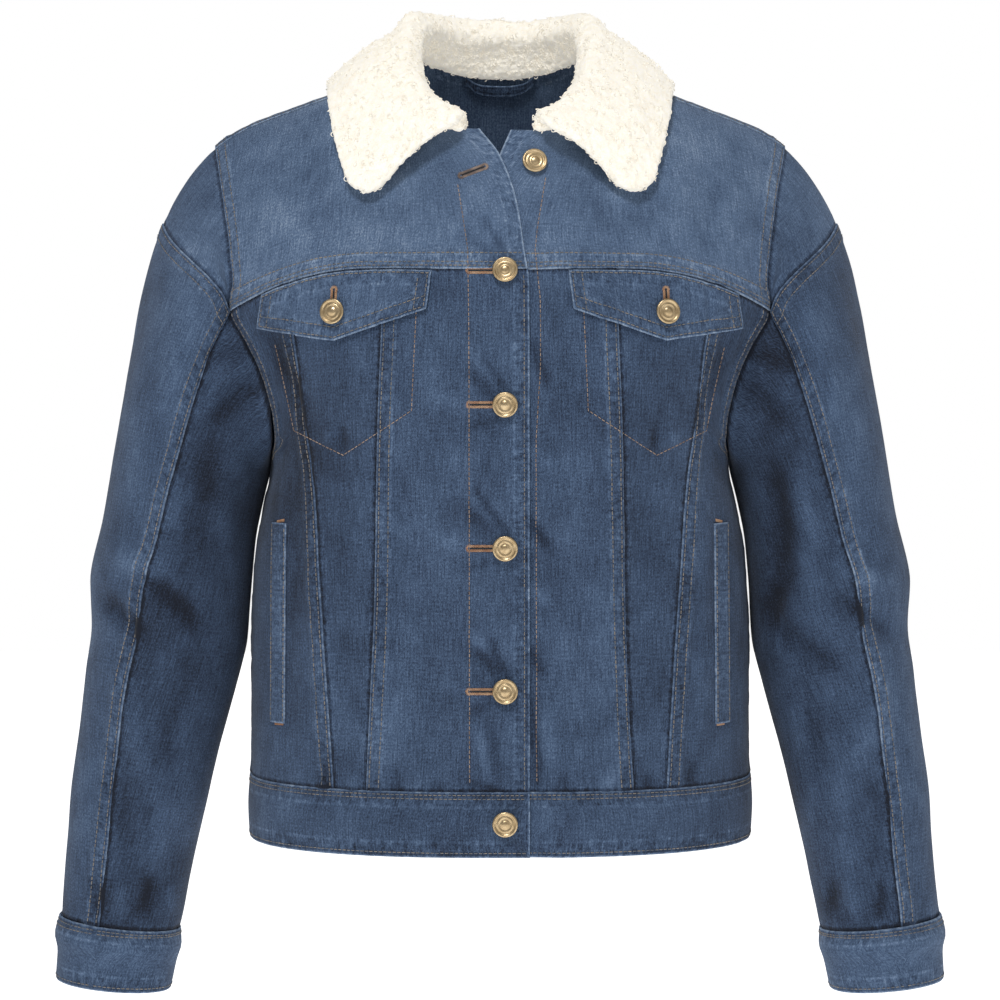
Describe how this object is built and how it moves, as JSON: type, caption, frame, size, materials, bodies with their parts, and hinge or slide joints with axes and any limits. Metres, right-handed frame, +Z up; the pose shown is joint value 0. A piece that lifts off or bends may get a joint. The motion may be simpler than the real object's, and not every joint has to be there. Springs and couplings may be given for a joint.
{
  "type": "denim jacket with sherpa collar",
  "caption": "Cropped trucker-style denim jacket, buttoned and filled out as worn, with a curly cream sherpa collar, flap pockets and side welt pockets",
  "frame": {"origin": "where the wearer holds the jacket up: midway between the shoulders, at the height of the neck's side points", "axes": "+Z up, the wearer faces -Y, the wearer's left is at +X"},
  "size_m": [0.6378, 0.2364, 0.7016],
  "materials": {
    "denim": "washed mid-blue denim twill, faded along its seams",
    "denim_dark": "unfaded dark blue denim",
    "sherpa": "curly cream sherpa pile",
    "brass": "brushed pale brass"
  },
  "bodies": {
    "root": {"back_panel": "denim", "back_yoke": "denim", "front_centre_left": "denim", "front_centre_right": "denim", "front_mid_left": "denim", "front_mid_right": "denim", "front_side_left": "denim", "front_side_right": "denim", "front_yoke_left": "denim", "front_yoke_right": "denim", "hanging_loop": "denim", "pocket_flap_left": "denim", "pocket_flap_right": "denim", "pocket_welt_left": "denim", "pocket_welt_right": "denim", "sleeve_cap_left": "denim", "sleeve_cap_right": "denim", "sleeve_over_left": "denim", "sleeve_over_right": "denim", "sleeve_under_left": "denim", "sleeve_under_right": "denim", "cuff_left": "denim", "cuff_right": "denim", "waistband": "denim", "collar_under": "denim_dark", "collar_sherpa": "sherpa", "button_flap_left": "brass", "button_flap_right": "brass", "button_front_1": "brass", "button_front_2": "brass", "button_front_3": "brass", "button_front_4": "brass", "button_front_5": "brass", "button_front_6": "brass"}
  },
  "joints": []
}
